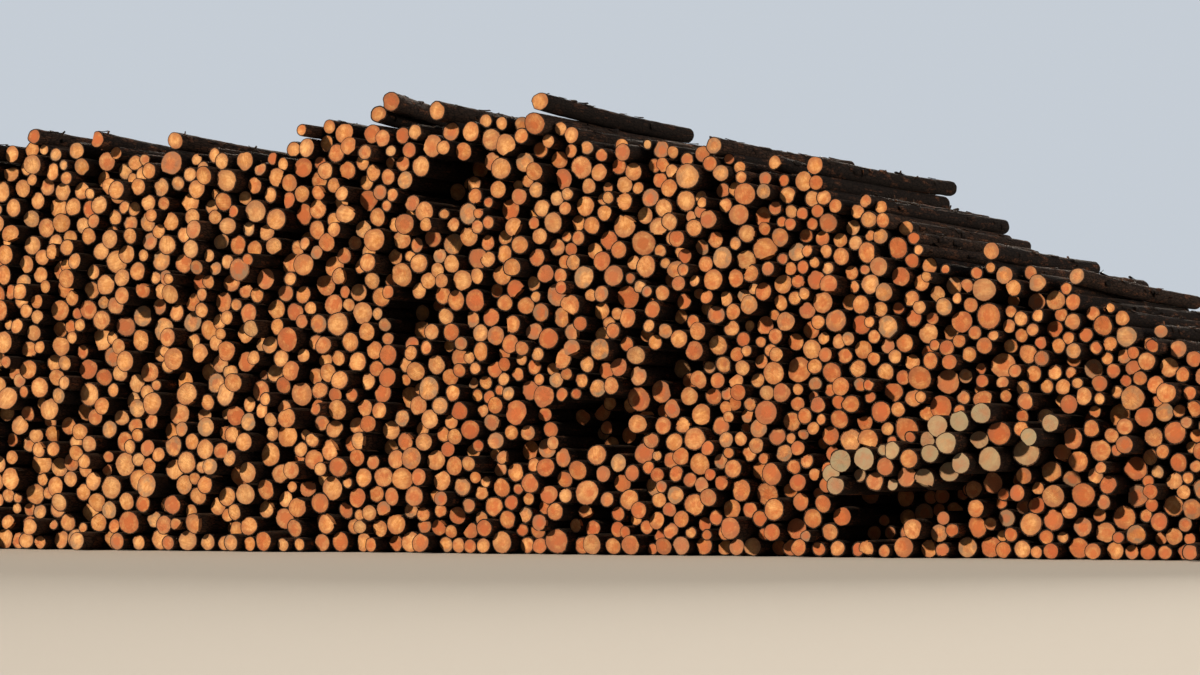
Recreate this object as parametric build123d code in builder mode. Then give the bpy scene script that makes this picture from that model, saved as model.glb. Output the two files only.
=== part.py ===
from build123d import *

import os
import random
from bisect import insort
from dataclasses import dataclass
from math import hypot, sin, sqrt

# A long stack of round logs, one log deep, with the sawn ends staggered.
# X runs along the face, Y along the logs with the front ends at -Y, Z is up; sizes in millimetres.

LOG_LENGTH = 4800
LENGTH_SPREAD = 30
MEAN_DIAMETER = 268
DIAMETER_SPREAD = 38
SMALLEST_DIAMETER = 185
LARGEST_DIAMETER = 400
DIAMETER_DRIFT = 22  # how much the mean log is thicker at the left and thinner at the right
TAPER_PER_METRE = 7.5  # loss of diameter along a log that lies open on top
SEAT_GAP = 0.3  # play left between two logs that rest on each other
GROUND_PLAY = 30  # largest free space between two logs of the ground course
SWING = 137  # how far a log may lie askew over its length when it is let down in its valley
STAGGER = 140  # scatter of one end against the next
FACE_WAVE = 150  # how far the whole face swells in and out
BACK_REACH = 450  # how far a log of a hollow stands out at the back before it is a shorter one
BATCH_REACH = 720  # how far the weathered batch stands out of the face
BATCH_DIAMETER = 295
TIERS = 24

# Height of the stack over its length, from the steep left end to the long right slope.
OUTLINE = [
    (-15700, 250),
    (-11300, 6450),
    (-10000, 6500),
    (-9200, 6480),
    (-7900, 6190),
    (-7000, 6260),
    (-5800, 6160),
    (-5300, 6330),
    (-4900, 6580),
    (-4430, 6620),
    (-3000, 6470),
    (-2200, 6620),
    (-750, 6600),
    (-300, 6200),
    (900, 6120),
    (2100, 5830),
    (2400, 5640),
    (3400, 5520),
    (3700, 5380),
    (3900, 5200),
    (4600, 5080),
    (4850, 4840),
    (5250, 4230),
    (5700, 4030),
    (6000, 4160),
    (6600, 4200),
    (6900, 3920),
    (7500, 3740),
    (8340, 3300),
    (9200, 2980),
    (12700, 250),
]

# Hollows of the face: centre along and up, half width, half height, depth.
HOLLOWS = [
    (-2480, 5600, 600, 360, 1150),
    (-3250, 3560, 500, 380, 1000),
    (-5300, 5080, 330, 280, 700),
    (-150, 1950, 620, 480, 900),
    (1250, 2750, 330, 360, 620),
    (4900, 800, 1150, 220, 1250),
    (4250, 480, 340, 280, 1000),
]

# The weathered batch: centre along and up, half length, half height, rise along its length.
BATCH = (5620, 1460, 1760, 430, 0.19)

# Loose logs on top: place of the front end, sideways run to the back end, diameter,
# reach of the front end out of the face.
TOP_LOGS = [
    (-10040, 60, 250, 150),
    (-8910, -90, 270, 120),
    (-7470, 110, 270, 60),
    (-3740, -1200, 265, 140),
    (-3540, -1200, 290, 190),
    (-2660, 30, 300, 130),
    (-910, 130, 275, 260),
    (1890, 140, 250, 150),
    (2700, -160, 230, -200),
    (3540, 90, 260, 120),
    (6120, -120, 250, 50),
    (7300, 150, 240, -150),
]
TOP_GAP = 0.6
TOP_SLIP = 40  # how far an end of a loose log may slip sideways to lie lower
DROPS = (64, 16, 4, 1, 0.25)  # steps, coarse to fine, in which a loose log is let down

FRONT = -LOG_LENGTH / 2
BACK = LOG_LENGTH / 2
CELL = LARGEST_DIAMETER + 20


@dataclass
class Log:
    """A tapered log, given by its axis and radius in the front and the back plane."""

    front: tuple  # along, up, radius at y = FRONT
    back: tuple  # the same at y = BACK
    start: float  # y of the front end
    end: float  # y of the back end
    number: int = -1
    weathered: bool = False

    def at(self, y):
        """Along, up and radius where the log crosses y."""
        share = (y - FRONT) / LOG_LENGTH
        return tuple(a + (b - a) * share for a, b in zip(self.front, self.back))

    def placed(self, front, back):
        """The same log with its axis through two other points."""
        front = (front[0], front[1], self.front[2])
        back = (back[0], back[1], self.back[2])
        return Log(front, back, self.start, self.end, -1, self.weathered)


def stack_height(x):
    """Height of the outline at x, zero beyond its ends."""
    for (x0, z0), (x1, z1) in zip(OUTLINE, OUTLINE[1:]):
        if x0 <= x <= x1:
            return z0 + (z1 - z0) * (x - x0) / (x1 - x0)
    return 0


def in_batch(x, z):
    """Whether a place of the face belongs to the weathered batch."""
    along, up, half_length, half_height, rise = BATCH
    offset = z - up - rise * (x - along)
    return ((x - along) / half_length) ** 2 + (offset / half_height) ** 2 < 1


def face_depth(x, z):
    """How far the ends lie behind the mean face at a place of it."""
    if in_batch(x, z):
        return -BATCH_REACH
    depth = FACE_WAVE * (sin(x / 830 + 1.4 * sin(z / 640)) + sin(z / 710 - x / 1900)) / 2
    for along, up, half_width, half_height, recess in HOLLOWS:
        if ((x - along) / half_width) ** 2 + ((z - up) / half_height) ** 2 < 1:
            depth += recess
    return depth


def draw_log(rng, x, z):
    """A log of random size for a place of the face, straight where others bury it."""
    batch = in_batch(x, z)
    weathered = batch and rng.random() > 0.15
    buried = z < stack_height(x) - 1.3 * MEAN_DIAMETER
    mean = MEAN_DIAMETER - DIAMETER_DRIFT * min(max(x / 6000, -1), 1)
    diameter = rng.gauss(BATCH_DIAMETER if batch else mean, DIAMETER_SPREAD)
    if rng.random() < 0.06:
        diameter += rng.uniform(0.15, 0.45) * MEAN_DIAMETER
    diameter = min(max(diameter, SMALLEST_DIAMETER), LARGEST_DIAMETER)
    swell = 0 if buried else TAPER_PER_METRE * LOG_LENGTH / 4000 * rng.choice((-1, 1))
    start = FRONT + face_depth(x, z) + rng.gauss(0, STAGGER)
    if rng.random() < 0.05:
        start += rng.uniform(-2, 2) * STAGGER
    end = min(start + LOG_LENGTH, BACK + BACK_REACH) + rng.gauss(0, LENGTH_SPREAD)
    at_front = (x, z, diameter / 2 + swell)
    at_back = (x, z, diameter / 2 - swell)
    return Log(at_front, at_back, start, end, -1, weathered)


def clearance(one, other):
    """Least free distance between two logs over the length they share."""
    low, high = max(one.start, other.start), min(one.end, other.end)
    least = LOG_LENGTH
    for step in range(5):
        y = low + (high - low) * step / 4
        a, b = one.at(y), other.at(y)
        least = min(least, hypot(a[0] - b[0], a[1] - b[1]) - a[2] - b[2])
    return least


def crossing(one, other):
    """Free distance between two logs where their axes pass nearest to each other."""
    ends = [log.at(y)[:2] + (y,) for log in (one, other) for y in (log.start, log.end)]
    start, end, other_start, other_end = (Vector(x, y, z) for x, z, y in ends)
    run, other_run, offset = end - start, other_end - other_start, other_start - start
    across = run.cross(other_run)
    if across.length < 1e-6 * run.length * other_run.length:
        return LOG_LENGTH
    share = offset.cross(other_run).dot(across) / across.length**2
    other_share = offset.cross(run).dot(across) / across.length**2
    if not (0 < share < 1 and 0 < other_share < 1):
        return LOG_LENGTH
    radii = one.at(one.start + share * (one.end - one.start))[2]
    radii += other.at(other.start + other_share * (other.end - other.start))[2]
    return abs(offset.dot(across)) / across.length - radii


def apex(left, right, from_left, from_right):
    """The point above two others at given distances from them, or None."""
    dx, dz = right[0] - left[0], right[1] - left[1]
    apart = hypot(dx, dz)
    if apart >= from_left + from_right or apart <= abs(from_left - from_right):
        return None
    along = (from_left**2 - from_right**2 + apart**2) / (2 * apart)
    height = sqrt(max(from_left**2 - along**2, 0))
    x = left[0] + (along * dx - height * dz) / apart
    return x, left[1] + (along * dz + height * dx) / apart


def rest_between(left, right, log):
    """The log laid parallel to Y in the valley between two others, or None."""
    a, b, radius = left.at(0), right.at(0), log.at(0)[2]
    from_left, from_right = a[2] + radius, b[2] + radius
    for _ in range(5):
        centre = apex(a, b, from_left, from_right)
        if centre is None:
            return None
        laid = log.placed(centre, centre)
        left_error = clearance(laid, left) - SEAT_GAP
        right_error = clearance(laid, right) - SEAT_GAP
        if max(abs(left_error), abs(right_error)) < 0.02:
            break
        from_left -= left_error
        from_right -= right_error
    return laid if a[0] < centre[0] < b[0] else None


class Stack:
    """The logs laid so far, and the valleys between them, lowest first."""

    def __init__(self, seed):
        self.rng = random.Random(seed)
        self.logs = []
        self.valleys = []
        self.cells = {}

    def near(self, x, z, reach):
        """The logs whose middle may lie within reach of a place."""
        found = []
        for column in range(int((x - reach) // CELL), int((x + reach) // CELL) + 1):
            for row in range(int((z - reach) // CELL), int((z + reach) // CELL) + 1):
                found += self.cells.get((column, row), [])
        return found

    def is_clear(self, log, supports=()):
        """Whether a log keeps free of all others, its supports aside."""
        x, z, radius = log.at(0)
        for other in self.near(x, z, LARGEST_DIAMETER + SWING):
            if any(other is support for support in supports):
                continue
            u, w, other_radius = other.at(0)
            if hypot(x - u, z - w) > radius + other_radius + SWING:
                continue
            if clearance(log, other) < SEAT_GAP - 0.03:
                return False
        return True

    def fits(self, log, supports):
        """Whether a log laid on its supports stays under the outline and free of the rest."""
        x, z, radius = log.at(0)
        return z + 0.7 * radius <= stack_height(x) and self.is_clear(log, supports)

    def add(self, log):
        """Lays a log and notes the valleys it forms with its neighbours."""
        log.number = len(self.logs)
        x, z, radius = log.at(0)
        for other in self.near(x, z, 2 * LARGEST_DIAMETER):
            u, w, other_radius = other.at(0)
            if hypot(x - u, z - w) > radius + other_radius + LARGEST_DIAMETER:
                continue
            left, right = (other, log) if u < x else (log, other)
            a, b = left.at(0), right.at(0)
            for guest in (MEAN_DIAMETER / 2, 0.62 * MEAN_DIAMETER, LARGEST_DIAMETER / 2):
                top = apex(a, b, a[2] + guest, b[2] + guest)
                if top and a[0] < top[0] < b[0]:
                    insort(self.valleys, (top[1], top[0], left.number, right.number))
                    break
        self.logs.append(log)
        self.cells.setdefault((int(x // CELL), int(z // CELL)), []).append(log)

    def lay_ground_course(self):
        """Logs on the ground from end to end of the outline, pair by pair with play between."""
        x, before = OUTLINE[0][0] + MEAN_DIAMETER, None
        while x < OUTLINE[-1][0] - MEAN_DIAMETER:
            drawn = draw_log(self.rng, x, MEAN_DIAMETER / 2)
            if before:
                play = self.rng.uniform(0, GROUND_PLAY) if len(self.logs) % 2 == 0 else 0
                x += 2 * sqrt(before.at(0)[2] * drawn.at(0)[2]) + play
            log = drawn.placed((x, drawn.front[2]), (x, drawn.back[2]))
            while before and clearance(log, before) < SEAT_GAP:
                x += SEAT_GAP - clearance(log, before) + 0.05
                log = drawn.placed((x, drawn.front[2]), (x, drawn.back[2]))
            self.add(log)
            before = log

    def let_down(self, log, left, right):
        """Turns a laid log until both its ends lie in the valley, as far as there is room."""
        ends = []
        for a, b, own in zip((left.front, left.back), (right.front, right.back), (log.front, log.back)):
            ends.append(apex(a, b, a[2] + own[2] + SEAT_GAP, b[2] + own[2] + SEAT_GAP))
        if None in ends:
            return log
        for share in (1, 0.7, 0.4):
            front, back = (
                (own[0] + (end[0] - own[0]) * share, own[1] + (end[1] - own[1]) * share)
                for own, end in zip((log.front, log.back), ends)
            )
            turned = log.placed(front, back)
            steep = hypot(front[0] - back[0], front[1] - back[1]) > SWING
            if not steep and self.is_clear(turned):
                return turned
        return log

    def fill(self):
        """Lays log after log in the lowest valley that takes it, until none is left."""
        guests = (SMALLEST_DIAMETER / 2, 0.38 * MEAN_DIAMETER, MEAN_DIAMETER / 2, LARGEST_DIAMETER / 2.2)
        while self.valleys:
            laid = None
            for place, (z, x, first, second) in enumerate(self.valleys):
                left, right = self.logs[first], self.logs[second]
                log = rest_between(left, right, draw_log(self.rng, x, z))
                if log and self.fits(log, (left, right)):
                    laid = self.let_down(log, left, right)
                    break
                probes = (Log((0, 0, r), (0, 0, r), FRONT, BACK) for r in guests)
                tried = (rest_between(left, right, probe) for probe in probes)
                if not any(log and self.fits(log, (left, right)) for log in tried):
                    break
            else:
                return
            self.valleys.pop(place)
            if laid:
                self.add(laid)

    def landing(self, plane, x, radius):
        """Height at which a circle let down at x touches the logs in a plane."""
        heights = [radius]
        for log in self.logs:
            u, w, other_radius = getattr(log, plane)
            reach = other_radius + radius + TOP_GAP
            if abs(x - u) < reach:
                heights.append(w + sqrt(reach**2 - (x - u) ** 2))
        return max(heights)

    def lay_top_logs(self):
        """Lays the loose logs askew over the topmost ones."""
        for along, run, diameter, stand_out in TOP_LOGS:
            swell = TAPER_PER_METRE * LOG_LENGTH / 4000
            radii = (diameter / 2 + swell, diameter / 2 - swell)
            ends = []
            for plane, x, radius in zip(("front", "back"), (along, along + run), radii):
                places = [x + TOP_SLIP * step / 4 for step in range(-4, 5)]
                ends.append(min((self.landing(plane, u, radius), u) for u in places))
            (front_z, front_x), (back_z, back_x) = ends
            start = FRONT - stand_out
            own = Log((0, 0, radii[0]), (0, 0, radii[1]), start, start + LOG_LENGTH)
            reach = hypot(front_x - back_x, front_z - back_z) / 2 + 2 * LARGEST_DIAMETER
            under = self.near((front_x + back_x) / 2, (front_z + back_z) / 2, reach)
            heights = [front_z + LARGEST_DIAMETER, back_z + LARGEST_DIAMETER]

            def laid(heights):
                """The loose log with its ends at two heights."""
                return own.placed((front_x, heights[0]), (back_x, heights[1]))

            for drop in DROPS:
                for ends in (0, 1), (0,), (1,):
                    while True:
                        lower = [height - drop * (end in ends) for end, height in enumerate(heights)]
                        log = laid(lower)
                        if min(min(clearance(log, other), crossing(log, other)) for other in under) < TOP_GAP:
                            break
                        heights = lower
            self.add(laid(heights))


def trunk(log, origin):
    """The solid of one log, sawn square at both ends: a cone, or a cylinder if it has no taper."""
    (x0, z0, radius0), (x1, z1, radius1) = log.at(log.start), log.at(log.end)
    start = Vector(x0, log.start, z0) - origin
    run = Vector(x1, log.end, z1) - origin - start
    from_start = (Align.CENTER, Align.CENTER, Align.MIN)
    with BuildPart(Plane(origin=start, z_dir=run)) as solid:
        if log.front[2] == log.back[2]:
            Cylinder(radius0, run.length, align=from_start)
        else:
            Cone(radius0, radius1, run.length, align=from_start)
    return solid.part


stack = Stack(seed=5)
stack.lay_ground_course()
stack.fill()
pile = list(stack.logs)
stack.lay_top_logs()
top_logs = stack.logs[len(pile) :]

# The origin is the middle of the ground the stack covers.
left = min(log.at(y)[0] - log.at(y)[2] for log in stack.logs for y in (log.start, log.end))
right = max(log.at(y)[0] + log.at(y)[2] for log in stack.logs for y in (log.start, log.end))
near = min(log.start for log in stack.logs)
far = max(log.end for log in stack.logs)
origin = Vector((left + right) / 2, (near + far) / 2, 0)

top = max(log.at(0)[1] for log in pile) + 1
groups = {f"tier_{tier + 1:02d}": [] for tier in range(TIERS)}
for log in pile:
    if not log.weathered:
        groups[f"tier_{int(log.at(0)[1] / top * TIERS) + 1:02d}"].append(log)
groups["weathered_batch"] = [log for log in pile if log.weathered]
groups["top_logs"] = top_logs

os.makedirs("parts", exist_ok=True)
for name, logs in groups.items():
    node = Compound(children=[trunk(log, origin) for log in logs], label=name)
    export_step(node, f"parts/{name}.step")
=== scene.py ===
"""A long stack of pine logs, dressed for a picture: barked, sawn and weathered log by log."""

import logging
import math
from dataclasses import dataclass, field, replace
from enum import Enum
from functools import partialmethod
from typing import Any

import bpy
import numpy as np
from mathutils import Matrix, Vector


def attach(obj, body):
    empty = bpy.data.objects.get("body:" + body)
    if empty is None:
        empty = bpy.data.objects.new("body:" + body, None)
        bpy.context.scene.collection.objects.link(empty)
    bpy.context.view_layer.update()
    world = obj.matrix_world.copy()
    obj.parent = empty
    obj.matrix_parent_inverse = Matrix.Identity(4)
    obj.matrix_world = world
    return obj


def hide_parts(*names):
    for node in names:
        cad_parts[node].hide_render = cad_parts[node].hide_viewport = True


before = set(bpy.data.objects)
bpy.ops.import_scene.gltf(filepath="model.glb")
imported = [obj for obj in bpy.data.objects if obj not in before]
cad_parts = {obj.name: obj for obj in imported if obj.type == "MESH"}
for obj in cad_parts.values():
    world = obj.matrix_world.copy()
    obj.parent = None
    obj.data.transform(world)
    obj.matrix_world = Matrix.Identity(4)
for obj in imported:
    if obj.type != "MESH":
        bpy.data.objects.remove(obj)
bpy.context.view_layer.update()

log = logging.getLogger("log_stack")

WEATHERED_NODE = "weathered_batch"
TOP_NODE = "top_logs"
FULL_TURN = 2 * np.pi

# Points of a CAD mesh that round to the same step are one point.
STEPS_PER_METRE = 2e4
# Points of a log that lie this near to its end, in metres, belong to the end's rim.
RIM_DEPTH = 0.004

Triple = tuple[float, float, float]
Colour = Triple
Span = tuple[float, float]
Array = np.ndarray
Material = bpy.types.Material
NodeTree = bpy.types.NodeTree
Socket = bpy.types.NodeSocket
Value = float | tuple[float, ...] | Socket


class Detail(Enum):
    """How finely a log is built: segments around, and shares of its length with a station."""

    BURIED = (18, (0.0, 0.012, 0.06, 0.985, 1.0))
    OPEN = (28, (0.0, 0.006, 0.02, *(0.05 + 0.03 * step for step in range(31)), 0.98, 0.994, 1.0))
    STICK = (6, (0.0, 0.5, 1.0))


def unit(vectors: Array) -> Array:
    """Vectors divided by their lengths."""
    return vectors / np.linalg.norm(vectors, axis=1, keepdims=True)


def per_log(values: Array) -> Array:
    """One row per log, ready to be combined with stations and segments."""
    return values[:, None, None]


def linked(name: str, data: bpy.types.ID) -> bpy.types.Object:
    """Makes an object and links it to the scene.

    Args:
        name: Its name.
        data: What it shows.

    Returns:
        The object.
    """
    made = bpy.data.objects.new(name, data)
    bpy.context.scene.collection.objects.link(made)
    return made


def smooth_noise(points: Array, seed: int, size: float) -> Array:
    """Smooth noise: twice the mean of eight sines along random directions.

    Args:
        points: Places, one row each.
        seed: Number that fixes the waves.
        size: Typical distance between crests.

    Returns:
        One value per place, about -1 to 1.
    """
    count, slowest, fastest = 8, 0.6, 1.5
    rng = np.random.default_rng(seed)
    directions = unit(rng.normal(size=(count, points.shape[1])))
    waves = FULL_TURN / size * rng.uniform(slowest, fastest, size=count)
    phases = rng.uniform(0, FULL_TURN, size=count)
    return np.sin(points @ directions.T * waves + phases).mean(axis=1) * 2


@dataclass
class LogTable:
    """Axis and radii of the logs of one CAD node, read from the node's own mesh.

    Front and back are the centres of the sawn ends, one row per log. Sag is how far the middle
    hangs below the line between them.
    """

    node: str
    front: Array
    back: Array
    front_radius: Array
    back_radius: Array
    sag: Array | None = None

    def __post_init__(self) -> None:
        """Makes the logs straight where no sag is given."""
        if self.sag is None:
            self.sag = np.zeros(len(self.front))

    @classmethod
    def read(cls, node: str) -> "LogTable":
        """Splits a node's mesh into its solids and measures each one.

        Joined points get the lowest number among them, over and over, until nothing changes. A
        log's axis is the main direction of its points.

        Args:
            node: Name of the CAD node.

        Returns:
            The logs from left to right.
        """
        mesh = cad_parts[node].data
        points = np.empty(len(mesh.vertices) * 3, np.float32)
        mesh.vertices.foreach_get("co", points)
        mesh.calc_loop_triangles()
        corners = np.empty(len(mesh.loop_triangles) * 3, np.int32)
        mesh.loop_triangles.foreach_get("vertices", corners)
        points = points.reshape(-1, 3).astype(float)
        keys = np.round(points * STEPS_PER_METRE).astype(np.int64)
        _, first, merged = np.unique(keys, axis=0, return_index=True, return_inverse=True)
        points = points[first]
        triangles = merged.ravel()[corners].reshape(-1, 3)
        label = np.arange(len(points))
        while True:
            lowest = label.copy()
            np.minimum.at(lowest, triangles.ravel(), np.repeat(label[triangles].min(axis=1), 3))
            lowest = lowest[lowest]
            if (lowest == label).all():
                break
            label = lowest
        rows = []
        for one in np.unique(label):
            ring = points[label == one]
            middle = ring.mean(axis=0)
            axis = np.linalg.eigh(np.cov((ring - middle).T))[1][:, -1]
            along = (ring - middle) @ (axis * np.sign(axis[1]))
            ends = []
            for level in (along.min(), along.max()):
                rim = ring[np.abs(along - level) < RIM_DEPTH]
                centre = (rim.min(axis=0) + rim.max(axis=0)) / 2
                ends += [*centre, np.linalg.norm(rim - centre, axis=1).max()]
            rows.append(ends)
        rows = np.array(sorted(rows))
        return cls(node, rows[:, 0:3], rows[:, 4:7], rows[:, 3], rows[:, 7])

    def __len__(self) -> int:
        """Number of logs."""
        return len(self.front)

    def pick(self, chosen: Array) -> "LogTable":
        """The chosen logs as a table of their own."""
        node, *arrays = vars(self).values()
        return LogTable(node, *(array[chosen] for array in arrays))


def lies_open(tables: list[LogTable]) -> list[Array]:
    """Finds the logs that have no other above them and only a little beside them.

    Args:
        tables: All tables of the stack.

    Returns:
        Whether each log lies open, by table.
    """
    # Shares of the two radii.
    aside, lowest, highest = 0.62, 0.2, 2.5
    middle = np.concatenate([(table.front + table.back) / 2 for table in tables])
    radius = np.concatenate([(table.front_radius + table.back_radius) / 2 for table in tables])
    across = np.abs(middle[:, None, 0] - middle[None, :, 0])
    above = middle[None, :, 2] - middle[:, None, 2]
    reach = radius[:, None] + radius[None, :]
    covered = (across < aside * reach) & (above > lowest * reach) & (above < highest * reach)
    is_open = ~covered.any(axis=1)
    edges = np.cumsum([len(table) for table in tables])[:-1]
    return np.split(is_open, edges)


@dataclass
class Surface:
    """A batch of closed shapes whose faces all have four corners, each with a texture place.

    A face is sawn wood or bark, and the rim is the edge of a saw cut. For the log of each point,
    look holds tone, redness and seed, and more holds stain, age and radius.
    """

    points: Array
    quads: Array
    uv: Array
    is_wood: Array
    is_rim: Array
    look: Array
    more: Array

    @classmethod
    def joined(cls, batches: list["Surface"]) -> "Surface":
        """Joins batches.

        Args:
            batches: The batches in order.

        Returns:
            All of them as one.
        """
        before = np.cumsum([0, *(len(batch.points) for batch in batches)])
        moved = [replace(batch, quads=batch.quads + start) for batch, start in zip(batches, before)]
        columns = zip(*(vars(batch).values() for batch in moved))
        return cls(*(np.concatenate(arrays) for arrays in columns))

    def piece(self, name: str, bark: Material, ends: Material) -> bpy.types.Object:
        """Makes an object of the surface.

        Args:
            name: Its name.
            bark: Material of the bark.
            ends: Material of the wood.

        Returns:
            The linked object.
        """
        mesh = bpy.data.meshes.new(name)
        mesh.vertices.add(len(self.points))
        mesh.vertices.foreach_set("co", self.points.astype(np.float32).ravel())
        mesh.loops.add(self.quads.size)
        mesh.loops.foreach_set("vertex_index", self.quads.astype(np.int32).ravel())
        mesh.polygons.add(len(self.quads))
        starts = np.arange(0, self.quads.size, 4, dtype=np.int32)
        mesh.polygons.foreach_set("loop_start", starts)
        mesh.polygons.foreach_set("material_index", self.is_wood.astype(np.int32))
        mesh.polygons.foreach_set("use_smooth", ~self.is_wood)
        mesh.update(calc_edges=True)
        edges = np.empty(len(mesh.edges) * 2, np.int32)
        mesh.edges.foreach_get("vertices", edges)
        sharp = self.is_rim[edges.reshape(-1, 2)].all(axis=1)
        mesh.attributes.new("sharp_edge", "BOOLEAN", "EDGE").data.foreach_set("value", sharp)
        layer = mesh.uv_layers.new(name="UVMap")
        layer.data.foreach_set("uv", self.uv.astype(np.float32).ravel())
        for attribute_name, values in (("log_look", self.look), ("log_more", self.more)):
            attribute = mesh.attributes.new(attribute_name, "FLOAT_VECTOR", "POINT")
            attribute.data.foreach_set("vector", values.astype(np.float32).ravel())
        mesh.materials.append(bark)
        mesh.materials.append(ends)
        mesh.validate()
        return linked(name, mesh)


@dataclass(frozen=True)
class LogLooks:
    """How tone, redness, stain and age are spread over the logs. Places are in metres."""

    right_from: float = -2.5
    right_over: float = 1.8
    low_from: float = 2.6
    low_over: float = 0.8
    tone_lost_right: float = 0.25
    red_shape: Span = (1.4, 3.4)
    red_right: float = 0.20
    red_low_right: float = 0.16
    stained_share: float = 0.17
    stained: Span = (0.5, 1.0)
    clean: Span = (0.0, 0.30)
    weathered_age: Span = (0.62, 1.0)
    fresh_age_shape: Span = (0.8, 16.0)

    def draw(self, rng: np.random.Generator, front: Array, weathered: bool) -> tuple[Array, Array]:
        """Draws the looks: darker and redder toward the right, reddest low down there.

        Args:
            rng: Source of chance.
            front: Centres of the front ends.
            weathered: Whether the logs are old.

        Returns:
            Tone, redness and seed of each log, then its stain and age.
        """
        count = len(front)
        toward_right = 1 / (1 + np.exp(-(front[:, 0] - self.right_from) / self.right_over))
        low = 1 / (1 + np.exp((front[:, 2] - self.low_from) / self.low_over))
        tone = np.clip(rng.uniform(0, 1, count) - self.tone_lost_right * toward_right, 0, 1)
        red = rng.beta(*self.red_shape, count) + self.red_right * toward_right
        red = red + self.red_low_right * low * toward_right
        look = np.stack([tone, np.clip(red, 0, 1), rng.uniform(0, 1, count)], axis=1)
        is_stained = rng.uniform(size=count) < self.stained_share
        dirty, clean = (rng.uniform(*span, count) for span in (self.stained, self.clean))
        if weathered:
            age = rng.uniform(*self.weathered_age, count)
        else:
            age = rng.beta(*self.fresh_age_shape, count)
        return look, np.stack([np.where(is_stained, dirty, clean), age], axis=1)


@dataclass(frozen=True)
class LogForm:
    """How a log differs from a plain cone.

    Waves and unevenness are shares of the radius: the least, and what chance adds. A torn slab
    has a chance, and a nearest and farthest distance of its flat from the pith.
    """

    oval: Span = (0.005, 0.05)
    oval_shape: Span = (1.2, 3.0)
    lobes: Span = (0.002, 0.045)
    lobes_shape: Span = (1.1, 3.0)
    twist: float = 0.5
    rough: float = 0.03
    swelling: float = 0.045
    whorl: float = 0.05
    whorl_level: float = 0.45
    slabs: tuple[Triple, ...] = ((0.35, 0.84, 0.97), (0.22, 0.80, 0.95), (0.09, 0.45, 0.80))
    torn_from: float = 0.97
    torn_depth: float = 0.82
    lean: float = 0.085
    fade: float = 0.03
    bark: Span = (0.008, 0.019)
    least_wood: float = 0.75
    pith: float = 0.07
    wood_rings: Span = (1.0, 0.55)
    bark_shift: float = 40.0


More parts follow.
